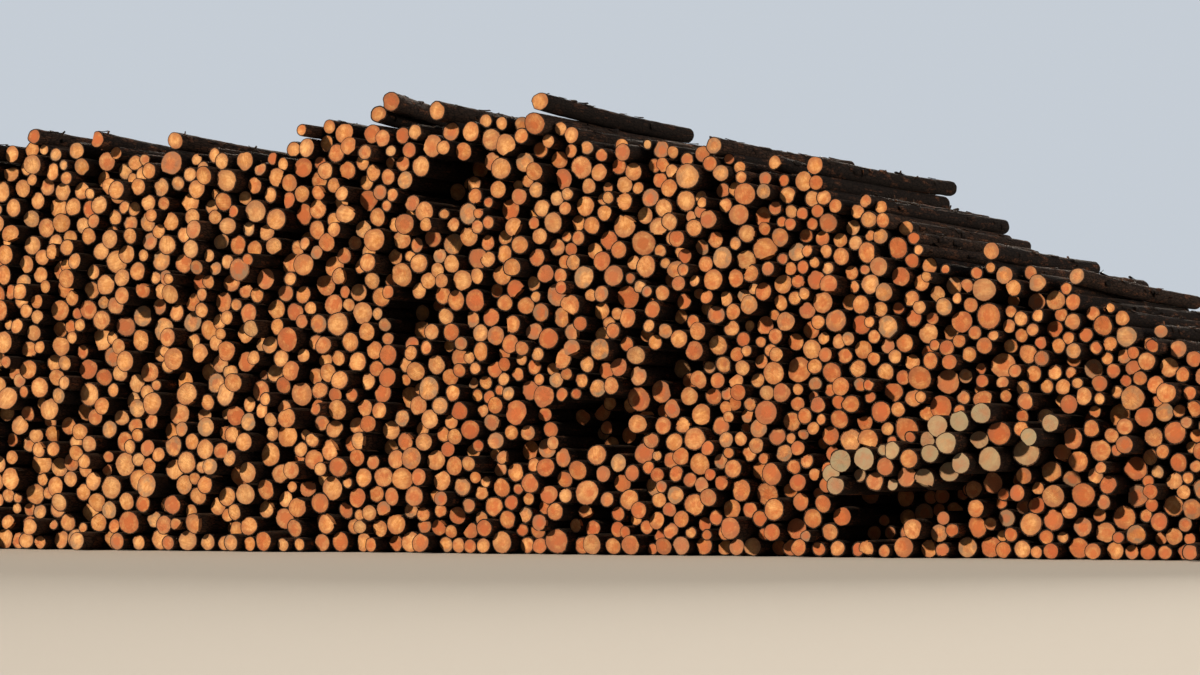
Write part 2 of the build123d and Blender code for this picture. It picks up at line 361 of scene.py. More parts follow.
@dataclass
class LogBatch:
    """The logs of one table as one surface.

    A log is a grid of stations along and segments around, measured from its front centre.
    """

    table: LogTable
    detail: Detail
    seed: int
    weathered: bool = False
    form: LogForm = LogForm()
    looks: LogLooks = LogLooks()

    def __post_init__(self) -> None:
        """Prepares chance, the grid, and each log's length and radii."""
        self.rng = np.random.default_rng(self.seed)
        self.count = len(self.table)
        self.around, stations = self.detail.value
        self.share = np.array(stations)
        self.turn = FULL_TURN * np.arange(self.around) / self.around
        self.grid_share, self.grid_turn = np.meshgrid(self.share, self.turn, indexing="ij")
        nearness = 1 - np.stack([self.share, 1 - self.share]) / self.form.fade
        self.near_end = np.clip(nearness, 0, 1)
        self.length = np.linalg.norm(self.table.back - self.table.front, axis=1)
        self.end_radius = np.stack([self.table.front_radius, self.table.back_radius])
        self.radius = (self.table.front_radius + self.table.back_radius) / 2

    def chips(self) -> Array:
        """Draws how torn slabs flatten the outline of each saw cut along straight chords.

        Returns:
            Share of the radius that is left, by end, log and segment.
        """
        ends, whole, edge_on = (2, self.count), 2.0, 0.1
        left = np.ones((*ends, self.around))
        for chance, nearest, farthest in self.form.slabs:
            is_torn = self.rng.uniform(size=ends) < chance
            chord = np.where(is_torn, self.rng.uniform(nearest, farthest, ends), whole)
            middle = self.rng.uniform(0, FULL_TURN, ends)
            facing = np.maximum(np.cos(self.turn - middle[..., None]), edge_on)
            left = np.minimum(left, chord[..., None] / facing)
        return left

    def outline(self) -> tuple[Array, Array]:
        """Works out the radius over the bark at every station and segment.

        It is the straight taper, times waves whose phase turns along the log, less a random
        unevenness, so that it nowhere stands out of the solid.

        Returns:
            The radii by log, station and segment, then what the torn slabs leave.
        """
        rng, form, count = self.rng, self.form, self.count
        oval = per_log(form.oval[0] + form.oval[1] * rng.beta(*form.oval_shape, count))
        lobes = per_log(form.lobes[0] + form.lobes[1] * rng.beta(*form.lobes_shape, count))
        phase = rng.uniform(0, FULL_TURN, (3, count))[:, :, None, None]
        twist = per_log(rng.uniform(-form.twist, form.twist, count)) * self.grid_share
        theta = self.grid_turn[None] + phase[2]
        wave = oval * (np.cos(2 * theta + phase[0] + twist) - 1)
        wave = wave + lobes * (np.cos(3 * theta + phase[1] - twist) - 1)
        wave = wave + 0.5 * lobes * (np.cos(5 * theta - 2 * phase[0] + phase[1]) - 1)
        rough = rng.uniform(0, form.rough, (count, *self.grid_share.shape))
        if self.detail is Detail.OPEN:
            rough = self.swell(rough, theta, phase[0])
        first, last = per_log(self.end_radius[0]), per_log(self.end_radius[1])
        straight = first * (1 - self.grid_share) + last * self.grid_share
        radii = straight * (1 + wave - rough)
        left = self.chips()
        for end in (0, 1):
            radii = radii * (1 - self.near_end[end][None, :, None] * (1 - left[end][:, None]))
        return radii, left

    def swell(self, rough: Array, theta: Array, phase: Array) -> Array:
        """Adds broad hollows to the unevenness, and takes some off at the whorls.

        Args:
            rough: The unevenness so far.
            theta: Turned angle of each place.
            phase: What sets the logs apart.

        Returns:
            The unevenness.
        """
        squeeze, stretch, apart, hollow, whorl = 0.4, 7, 9, 0.45, 0.9
        along = self.grid_share[None] * stretch + phase * apart
        spots = np.stack([np.cos(theta) * squeeze, np.sin(theta) * squeeze, along], axis=3)
        broad = smooth_noise(spots.reshape(-1, 3), self.seed, hollow).reshape(rough.shape)
        rough = rough + self.form.swelling * np.clip(0.5 + 0.5 * broad, 0, 1)
        crests = smooth_noise(spots[..., 2:].reshape(-1, 1) * 1.7, self.seed + 1, whorl)
        crests = crests.reshape(rough.shape) - self.form.whorl_level
        return rough - self.form.whorl * np.clip(crests, 0, 1)

    def cut_back(self, end: int, x: Array, z: Array) -> Array:
        """How far a slanting saw cut lies back, so that it stays within the solid.

        Args:
            end: 0 for the front, 1 for the back.
            x: Sideways distances from the axis, by log first.
            z: Upward distances.

        Returns:
            Distances along the axis.
        """
        shape = (self.count, *[1] * (x.ndim - 1))
        lean_x, lean_z = self.lean[end].reshape(2, *shape)
        reach = np.hypot(lean_x, lean_z) * self.end_radius[end].reshape(shape)
        away = reach + (lean_x * x + lean_z * z)
        return -away if end else away

    def saw_cut(self, end: int, rim_radius: Array) -> Array:
        """Places the wood of one end: its edge inside the bark, a ring and the pith.

        Args:
            end: 0 for the front, 1 for the back.
            rim_radius: Radius over the bark, by log and segment.

        Returns:
            The points by log.
        """
        bark = self.bark_thickness[end][:, None]
        wood = np.maximum(rim_radius - bark, self.form.least_wood * rim_radius)
        pith = self.pith[end][:, :, None]
        edge = wood * np.stack([np.cos(self.turn), np.sin(self.turn)])[:, None]
        rings = [edge * part + pith * (1 - part) for part in self.form.wood_rings]
        x, z = np.concatenate([*rings, pith], axis=2)
        along = self.cut_back(end, x, z) + end * self.length[:, None]
        return np.stack([x, along, z], axis=2)

    def faces(self) -> tuple[Array, Array]:
        """Numbers the corners of one log's faces: its sides, then two bands and a fan an end.

        Returns:
            Four corners per face, and whether each face is sawn wood.
        """
        around, rows = self.around, len(self.share) - 1
        step = np.arange(around)
        after = (step + 1) % around
        row = (np.arange(rows) * around)[:, None]
        next_row = row + around
        sides = np.stack([row + step, next_row + step, next_row + after, row + after], axis=2)
        quads, is_wood = [sides.reshape(-1, 4)], [np.zeros(rows * around, bool)]
        for end, rim in ((0, 0), (1, rows * around)):
            outer = (rows + 1) * around + end * (2 * around + 1)
            inner, centre = outer + around, outer + 2 * around
            half = step[::2]
            fan = [inner + half, inner + (half + 1) % around, inner + (half + 2) % around]
            bands = (
                [rim + step, rim + after, outer + after, outer + step],
                [outer + step, outer + after, inner + after, inner + step],
                [*fan, np.full(len(half), centre)],
            )
            for band, wood in zip(bands, (False, True, True)):
                quads.append(np.stack(band[::-1] if end else band, axis=1))
                is_wood.append(np.full(len(band[0]), wood))
        return np.concatenate(quads), np.concatenate(is_wood)

    def texture_places(self, local: Array, bark_place: Array, quads: Array) -> Array:
        """Texture places: round and along the log on its sides, from the pith on its ends.

        Args:
            local: The points by log.
            bark_place: Metres around and along, for the points of the sides.
            quads: Corners of one log's faces.

        Returns:
            Places by log, face and corner.
        """
        around, side_faces = self.around, (len(self.share) - 1) * self.around
        in_front = np.arange(local.shape[1]) < len(self.share) * around + 2 * around + 1
        pith = self.pith.transpose(0, 2, 1)[:, :, None]
        from_pith = local[:, :, ::2] - np.where(in_front[None, :, None], pith[0], pith[1])
        places = from_pith[:, quads]
        corners = quads[:side_faces]
        closing = np.arange(side_faces) % around == around - 1
        wraps = (corners % around == 0) & closing[:, None]
        on_side = bark_place[:, corners]
        on_side[..., 0] += np.where(wraps, FULL_TURN, 0.0)[None] * per_log(self.radius)
        places[:, :side_faces] = on_side
        return places

    def bare_wood(self, is_wood: Array, left: Array) -> Array:
        """Turns the flanks of the deepest slabs from bark into wood.

        Args:
            is_wood: Whether each face of a whole log is wood.
            left: What the slabs leave, by end, log and segment.

        Returns:
            Whether each face is wood, by log.
        """
        around, rows = self.around, len(self.share) - 1
        marked = np.tile(is_wood, (self.count, 1))
        end_faces = (len(is_wood) - rows * around) // 2
        for end, row in ((0, 0), (1, (rows - 1) * around)):
            deepest = left[end].min(axis=1, keepdims=True)
            torn = (left[end] < self.form.torn_from) & (deepest < self.form.torn_depth)
            bare = torn & np.roll(torn, -1, axis=1)
            for first in (row, rows * around + end * end_faces):
                marked[:, first : first + around] |= bare
        return marked

    def build(self) -> Surface:
        """Builds the logs. Near an end, their stations lean with its saw cut.

        Returns:
            Their surface.
        """
        rng, table, form = self.rng, self.table, self.form
        look, stain_and_age = self.looks.draw(rng, table.front, self.weathered)
        radii, left = self.outline()
        self.lean = rng.normal(0, form.lean, (2, 2, self.count))
        x = radii * np.cos(self.grid_turn)
        z = radii * np.sin(self.grid_turn)
        near_front, near_back = self.near_end[:, None, :, None]
        along = self.grid_share[None] * per_log(self.length)
        along = along + near_front * self.cut_back(0, x, z) + near_back * self.cut_back(1, x, z)
        z = z - per_log(table.sag) * np.sin(np.pi * self.grid_share)

        shift = rng.uniform(0, form.bark_shift, (self.count, 2))[:, None, None]
        arc = np.broadcast_to(self.turn, x.shape) * per_log(self.radius)
        bark_place = np.stack([arc, along], axis=3) + shift
        self.bark_thickness = rng.uniform(*form.bark, (2, self.count))
        self.pith = rng.normal(0, form.pith, (2, 2, self.count)) * self.radius
        sides = np.stack([x, along, z], axis=3).reshape(self.count, -1, 3)
        cuts = [self.saw_cut(end, radii[:, -end]) for end in (0, 1)]
        local = np.concatenate([sides, *cuts], axis=1)

        axis = (table.back - table.front) / self.length[:, None]
        side = unit(np.cross(axis, [0.05, 0.02, 1.0]))
        upward = np.cross(side, axis)
        points = table.front[:, None]
        for number, way in enumerate((side, axis, upward)):
            points = points + local[:, :, number, None] * way[:, None]
        quads, is_wood = self.faces()
        points_each = local.shape[1]
        uv = self.texture_places(local, bark_place.reshape(self.count, -1, 2), quads)
        is_rim = np.zeros(points_each, bool)
        last = (len(self.share) - 1) * self.around
        is_rim[: self.around] = is_rim[last : last + self.around] = True
        more = np.concatenate([stain_and_age, self.radius[:, None]], axis=1)
        offsets = per_log(np.arange(self.count) * points_each)
        return Surface(
            points.reshape(-1, 3),
            (quads[None] + offsets).reshape(-1, 4),
            uv.reshape(-1, 4, 2),
            self.bare_wood(is_wood, left).ravel(),
            np.tile(is_rim, self.count),
            np.repeat(look, points_each, axis=0),
            np.repeat(more, points_each, axis=0),
        )


@dataclass(frozen=True)
class Skin:
    """Roughness and specular level, and the strength and depth in metres of the bump."""

    roughness: float
    specular: float
    bump: float
    depth: float


class Graph:
    """Shorthand for building a node tree."""

    def __init__(self, tree: NodeTree, owner: Material | None = None) -> None:
        """Keeps the tree that the nodes go into, and the material it belongs to."""
        self.tree = tree
        self.owner = owner

    @classmethod
    def group(cls, name: str, inputs: dict[str, str]) -> "Graph":
        """Starts a node group.

        Args:
            name: Its name.
            inputs: Vector or Float, by the name of the input.

        Returns:
            Its graph.
        """
        tree = bpy.data.node_groups.new(name, "ShaderNodeTree")
        for title, kind in inputs.items():
            tree.interface.new_socket(title, in_out="INPUT", socket_type=f"NodeSocket{kind}")
        return cls(tree)

    @classmethod
    def material(cls, name: str) -> "Graph":
        """Starts a material without nodes.

        Args:
            name: Its name.

        Returns:
            Its graph.
        """
        made = bpy.data.materials.new(name)
        made.use_nodes = True
        made.node_tree.nodes.clear()
        return cls(made.node_tree, made)

    def masks(self, **masks: Socket) -> NodeTree:
        """Ends a group with one output for each mask.

        Args:
            **masks: The masks by name.

        Returns:
            The group.
        """
        for title in masks:
            self.tree.interface.new_socket(title, in_out="OUTPUT", socket_type="NodeSocketFloat")
        self.node("NodeGroupOutput", masks)
        return self.tree

    def shade(self, colour: Value, height: Value, skin: Skin) -> Material:
        """Ends a material with its bump and shader.

        Args:
            colour: Base colour.
            height: Relief from 0 to 1.
            skin: Roughness, specular level and bump.

        Returns:
            The material.
        """
        relief = {"Height": height, "Strength": skin.bump, "Distance": skin.depth}
        surface = {
            "Base Color": colour,
            "Roughness": skin.roughness,
            "Specular IOR Level": skin.specular,
            "Normal": self.node("ShaderNodeBump", relief).outputs[0],
        }
        shader = self.node("ShaderNodeBsdfPrincipled", surface)
        self.node("ShaderNodeOutputMaterial", {0: shader.outputs[0]})
        return self.owner

    def node(
        self, kind: str, inputs: dict[str | int, Value] | None = None, **settings: Any
    ) -> bpy.types.Node:
        """Adds a node.

        Args:
            kind: Its type.
            inputs: Values or sockets by input.
            **settings: Its properties.

        Returns:
            The node.
        """
        made = self.tree.nodes.new(kind)
        for name, value in settings.items():
            setattr(made, name, value)
        for name, value in (inputs or {}).items():
            if isinstance(value, Socket):
                self.tree.links.new(value, made.inputs[name])
            else:
                made.inputs[name].default_value = value
        return made

    def math(self, operation: str, a: Value, b: Value = 0.0) -> Socket:
        """One arithmetic step on numbers or sockets."""
        return self.node("ShaderNodeMath", {0: a, 1: b, 2: 0.0}, operation=operation).outputs[0]

    add = partialmethod(math, "ADD")
    minus = partialmethod(math, "SUBTRACT")
    times = partialmethod(math, "MULTIPLY")

    def vector(self, x: Value, y: Value, z: Value) -> Socket:
        """Vector of three values."""
        return self.node("ShaderNodeCombineXYZ", {0: x, 1: y, 2: z}).outputs[0]

    def split(self, vector: Socket) -> tuple[Socket, ...]:
        """The three values of a vector."""
        return tuple(self.node("ShaderNodeSeparateXYZ", {0: vector}).outputs)

    def attribute(self, name: str) -> tuple[Socket, ...]:
        """The three values of a point attribute."""
        return self.split(self.node("ShaderNodeAttribute", attribute_name=name).outputs["Vector"])

    def mix(self, factor: Value, a: Value, b: Value) -> Socket:
        """Mixes two colours.

        Args:
            factor: Share of the second.
            a: First colour.
            b: Second colour.

        Returns:
            The mixed colour.
        """
        first, second = (value if isinstance(value, Socket) else (*value, 1.0) for value in (a, b))
        given = {0: factor, 6: first, 7: second}
        return self.node("ShaderNodeMix", given, data_type="RGBA").outputs[2]

    def ramp(self, factor: Value, low: float, high: float) -> Socket:
        """Rises smoothly from 0 to 1 while the factor goes from low to high."""
        given = {"Value": factor, "From Min": low, "From Max": high}
        return self.node("ShaderNodeMapRange", given, interpolation_type="SMOOTHSTEP").outputs[0]

    def noise(self, vector: Value, scale: float, detail: float, roughness: float = 0.5) -> Socket:
        """Noise value at a place."""
        given = {"Vector": vector, "Scale": scale, "Detail": detail, "Roughness": roughness}
        return self.node("ShaderNodeTexNoise", given).outputs[0]


@dataclass(frozen=True)
class RingPattern:
    """Pattern of a sawn end. Scales are crests per metre; other spans run from none to full."""

    seed_shift: float = 53.0
    wobble_scale: float = 14.0
    wobble: float = 0.018
    ring_pitch: float = 420.0
    pitch_by_seed: float = 300.0
    ring: Span = (-0.2, 1.0)
    heart: Span = (0.36, 0.56)
    check_lobes: float = 3.0
    check_scale: float = 2.6
    check_width: Span = (0.012, 0.0)
    check_starts: Span = (0.05, 0.15)
    check_ends: Span = (0.55, 0.95)
    drying_by_seed: float = 17.0
    dried: Span = (0.35, 0.95)
    least_checks: float = 0.20
    patch_scale: float = 7.0
    patch: Span = (0.30, 0.72)
    # Partly painted shade: the rim mask darkens each end from mid-radius out to the rim.
    edge_scale: float = 24.0
    edge_raggedness: float = 0.40
    edge: Span = (0.50, 1.16)
    stroke_scales: Span = (6.0, 42.0)
    stroke: Span = (0.35, 0.68)
    mottle_scale: float = 11.0
    mottle: Span = (0.36, 0.64)

    def group(self) -> NodeTree:
        """Builds the masks, for places measured from the pith in metres.

        Rings are the sine of the distance from the pith, bent by noise. Checks are thin lines of a
        noise that depends on the angle alone. Saw strokes are a noise drawn out one way.

        Returns:
            The group.
        """
        graph = Graph.group("growth_rings", {"Place": "Vector", "Seed": "Float", "Radius": "Float"})
        add, minus, times = graph.add, graph.minus, graph.times
        ramp, noise, math_step = graph.ramp, graph.noise, graph.math
        given = graph.node("NodeGroupInput").outputs
        x, z, _ = graph.split(given["Place"])
        shift = times(given["Seed"], self.seed_shift)
        spot = graph.vector(x, z, shift)
        distance = math_step("SQRT", add(math_step("POWER", x, 2.0), math_step("POWER", z, 2.0)))
        wobble = times(minus(noise(spot, self.wobble_scale, 1.0), 0.5), self.wobble)
        bent = add(distance, wobble)
        pitch = add(times(given["Seed"], self.pitch_by_seed), self.ring_pitch)
        share = math_step("DIVIDE", bent, given["Radius"])

        angle = math_step("ARCTAN2", z, x)
        ray = [times(math_step(wave, angle), self.check_lobes) for wave in ("SINE", "COSINE")]
        crack = noise(graph.vector(*ray, shift), self.check_scale, 3.0, 0.7)
        crack = ramp(math_step("ABSOLUTE", minus(crack, 0.5)), *self.check_width)
        reach = times(ramp(share, *self.check_starts), minus(1.0, ramp(share, *self.check_ends)))
        draw = math_step("FRACT", times(given["Seed"], self.drying_by_seed))
        dried = add(times(ramp(draw, *self.dried), 1.0 - self.least_checks), self.least_checks)

        uneven = times(noise(spot, self.edge_scale, 2.0, 0.6), self.edge_raggedness)
        sine, cosine = (math_step(wave, shift) for wave in ("SINE", "COSINE"))
        along = times(add(times(x, cosine), times(z, sine)), self.stroke_scales[0])
        across = times(minus(times(z, cosine), times(x, sine)), self.stroke_scales[1])
        stroke = noise(graph.vector(along, across, shift), 1.0, 3.0, 0.65)
        return graph.masks(
            Rings=ramp(math_step("SINE", times(bent, pitch)), *self.ring),
            Heart=minus(1.0, ramp(share, *self.heart)),
            Checks=times(times(crack, reach), dried),
            Patch=ramp(noise(spot, self.patch_scale, 3.0, 0.6), *self.patch),
            # Partly painted shade, rising toward the rim; torn flanks take it fully.
            Edge=ramp(add(share, uneven), *self.edge),
            Saw=ramp(stroke, *self.stroke),
            Mottle=ramp(noise(spot, self.mottle_scale, 4.0, 0.65), *self.mottle),
        )


@dataclass(frozen=True)
class BarkPattern:
    """Pattern of furrowed bark. Scales are crests per metre; spans run from none to full."""

    stretch: float = 0.28
    warp_scale: float = 22.0
    warp: float = 0.03
    plate_scale: float = 24.0
    plate: Span = (0.0, 0.15)
    fine_scale: float = 70.0
    plate_height: float = 0.7
    fine_height: float = 0.5
    flake_scale: float = 7.0
    flake: Span = (0.52, 0.70)
    dust_scale: float = 2.2
    dust: Span = (0.50, 0.75)

    def group(self) -> NodeTree:
        """Builds the masks, for places in metres around and along the log.

        Plates are the cells of a Voronoi pattern, drawn out along the log and warped.

        Returns:
            The group.
        """
        graph = Graph.group("bark_relief", {"Place": "Vector"})
        given = graph.node("NodeGroupInput").outputs["Place"]
        drawn = {"Vector": given, "Scale": (1.0, self.stretch, 1.0)}
        stretched = graph.node("ShaderNodeMapping", drawn).outputs[0]
        warping = {"Vector": stretched, "Scale": self.warp_scale, "Detail": 2.0}
        warp = graph.node("ShaderNodeTexNoise", warping).outputs[1]
        scaling = {0: warp, "Scale": self.warp}
        shift = graph.node("ShaderNodeVectorMath", scaling, operation="SCALE").outputs[0]
        sum_of = {0: stretched, 1: shift}
        moved = graph.node("ShaderNodeVectorMath", sum_of, operation="ADD").outputs[0]
        cell = {"Vector": moved, "Scale": self.plate_scale}
        cells = graph.node("ShaderNodeTexVoronoi", cell, feature="DISTANCE_TO_EDGE").outputs[0]
        plates = graph.ramp(cells, *self.plate)
        fine = graph.times(graph.noise(given, self.fine_scale, 3.0, 0.6), self.fine_height)
        return graph.masks(
            Height=graph.add(graph.times(plates, self.plate_height), fine),
            Plates=plates,
            Flakes=graph.ramp(graph.noise(moved, self.flake_scale, 3.0, 0.6), *self.flake),
            Dust=graph.ramp(graph.noise(given, self.dust_scale, 3.0, 0.6), *self.dust),
        )


@dataclass(frozen=True)
class BarkFinish:
    """Colours of furrowed bark, and how far flakes and dust cover it."""

    furrow: Colour = (0.009, 0.006, 0.005)
    plate: Colour = (0.026, 0.017, 0.013)
    brown_plate: Colour = (0.072, 0.040, 0.026)
    flake: Colour = (0.23, 0.092, 0.045)
    dust: Colour = (0.070, 0.050, 0.038)
    brown_tone: Span = (0.1, 1.0)
    flaking_red: Span = (0.0, 0.5)
    flake_cover: float = 0.9
    dust_cover: float = 0.55
    skin: Skin = Skin(roughness=0.9, specular=0.2, bump=0.9, depth=0.008)

    def material(self, relief: NodeTree) -> Material:
        """Makes dark furrowed bark with reddish flakes.

        Args:
            relief: The group that gives the masks.

        Returns:
            The material.
        """
        graph = Graph.material("pine_bark")
        place = graph.node("ShaderNodeUVMap", uv_map="UVMap").outputs[0]
        masks = graph.node("ShaderNodeGroup", {"Place": place}, node_tree=relief).outputs
        tone, red, _ = graph.attribute("log_look")
        plate = graph.mix(graph.ramp(tone, *self.brown_tone), self.plate, self.brown_plate)
        colour = graph.mix(masks["Plates"], self.furrow, plate)
        bare = graph.times(graph.times(masks["Flakes"], masks["Plates"]), self.flake_cover)
        bare = graph.times(bare, graph.ramp(red, *self.flaking_red))
        colour = graph.mix(bare, colour, self.flake)
        greyed = graph.times(masks["Dust"], graph.times(tone, self.dust_cover))
        return graph.shade(graph.mix(greyed, colour, self.dust), masks["Height"], self.skin)


@dataclass(frozen=True)
class EndFinish:
    """Colours of a sawn end, from fresh sapwood to aged wood, and how far each mask covers."""

    sapwood: Colour = (0.55, 0.220, 0.055)
    pale: Colour = (0.90, 0.50, 0.205)
    heartwood: Colour = (0.57, 0.190, 0.052)
    resin: Colour = (0.46, 0.098, 0.030)
    rim: Colour = (0.27, 0.080, 0.030)
    # Partly painted shade toward each end's rim; partly the redder wood by the bark.
    ring: Colour = (0.34, 0.115, 0.034)
    stain: Colour = (0.23, 0.165, 0.105)
    weathered: Colour = (0.31, 0.275, 0.180)
    crack: Colour = (0.05, 0.02, 0.01)
    tone_lightens: float = 0.52
    mottle_lightens: float = 0.68
    heart_red: Span = (0.1, 0.6)
    heart_reddens: float = 0.40
    redness: Span = (0.15, 0.80)
    patch_level: float = 0.62
    patch_reddens: float = 0.95
    ring_cover: float = 0.22
    saw_cover: float = 0.36
    rim_cover: float = 0.72
    stain_cover: float = 0.95
    heart_unstained: float = 0.6
    patch_unaged: float = 0.42
    crack_cover: float = 0.80
    saw_height: float = 0.45
    skin: Skin = Skin(roughness=0.75, specular=0.25, bump=0.5, depth=0.003)

    def material(self, rings: NodeTree) -> Material:
        """Makes end grain whose tone, redness, stain and age come with each log.

        Args:
            rings: The group that gives the masks.

        Returns:
            The material.
        """
        graph = Graph.material("sawn_pine_end")
        add, minus, times, ramp, mix = graph.add, graph.minus, graph.times, graph.ramp, graph.mix
        place = graph.node("ShaderNodeUVMap", uv_map="UVMap").outputs[0]
        tone, red, seed = graph.attribute("log_look")
        stain, age, radius = graph.attribute("log_more")
        given = {"Place": place, "Seed": seed, "Radius": radius}
        masks = graph.node("ShaderNodeGroup", given, node_tree=rings).outputs
        light = add(times(tone, self.tone_lightens), times(masks["Mottle"], self.mottle_lightens))
        sap = mix(graph.math("MINIMUM", light, 1.0), self.sapwood, self.pale)
        heart = mix(red, self.heartwood, self.resin)
        heart_share = times(masks["Heart"], ramp(red, *self.heart_red))
        redness = add(times(heart_share, self.heart_reddens), ramp(red, *self.redness))
        blotch = times(minus(masks["Patch"], self.patch_level), self.patch_reddens)
        redness = graph.math("MAXIMUM", add(redness, blotch), 0.0)
        colour = mix(graph.math("MINIMUM", redness, 1.0), sap, heart)
        colour = mix(times(masks["Rings"], self.ring_cover), colour, self.ring)
        colour = mix(times(masks["Saw"], self.saw_cover), colour, self.ring)
        # Painted shade toward each end's rim; partly real redder wood by the bark.
        colour = mix(times(masks["Edge"], self.rim_cover), colour, self.rim)
        sap_only = minus(1.0, times(masks["Heart"], self.heart_unstained))
        stained = times(times(times(masks["Patch"], sap_only), stain), self.stain_cover)
        colour = mix(stained, colour, self.stain)
        aged = times(age, minus(1.0, times(masks["Patch"], self.patch_unaged)))
        colour = mix(aged, colour, self.weathered)
        colour = mix(times(masks["Checks"], self.crack_cover), colour, self.crack)
        height = minus(times(masks["Saw"], self.saw_height), masks["Checks"])
        return graph.shade(colour, height, self.skin)


@dataclass
class LogStack:
    """Every log of the stack, one piece per CAD node. The loose top logs sag, in metres."""

    bark: Material
    ends: Material
    top_sag: float = 0.045
    least_sag: float = 0.5
    open_logs: list[LogTable] = field(default_factory=list)

    def build(self) -> None:
        """Builds a piece for each node, puts it in the node's place and keeps its open logs."""
        tables = [LogTable.read(node) for node in sorted(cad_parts)]
        for number, (table, is_open) in enumerate(zip(tables, lies_open(tables))):
            weathered = table.node == WEATHERED_NODE
            if table.node == TOP_NODE:
                is_open = np.ones(len(table), bool)
                rng = np.random.default_rng(300)
                table.sag = self.top_sag * rng.uniform(self.least_sag, 1.0, len(table))
            buried = LogBatch(table.pick(~is_open), Detail.BURIED, 100 + number, weathered)
            exposed = LogBatch(table.pick(is_open), Detail.OPEN, 200 + number, weathered)
            surface = Surface.joined([b.build() for b in (buried, exposed) if b.count])
            self.open_logs.append(exposed.table)
            piece = surface.piece(f"logs_{table.node}", self.bark, self.ends)
            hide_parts(table.node)
            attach(piece, "root")
            log.info("%s: %d logs, %d of them open", piece.name, len(table), is_open.sum())


@dataclass
class Spots:
    """Places on the open logs: a point of the axis, three directions, radius and angle."""

    middle: Array
    axis: Array
    side: Array
    upward: Array
    radius: Array
    angle: Array

    def outward(self) -> Array:
        """Direction off the log at each place."""
        cosine, sine = np.cos(self.angle)[:, None], np.sin(self.angle)[:, None]
        return self.side * cosine + self.upward * sine


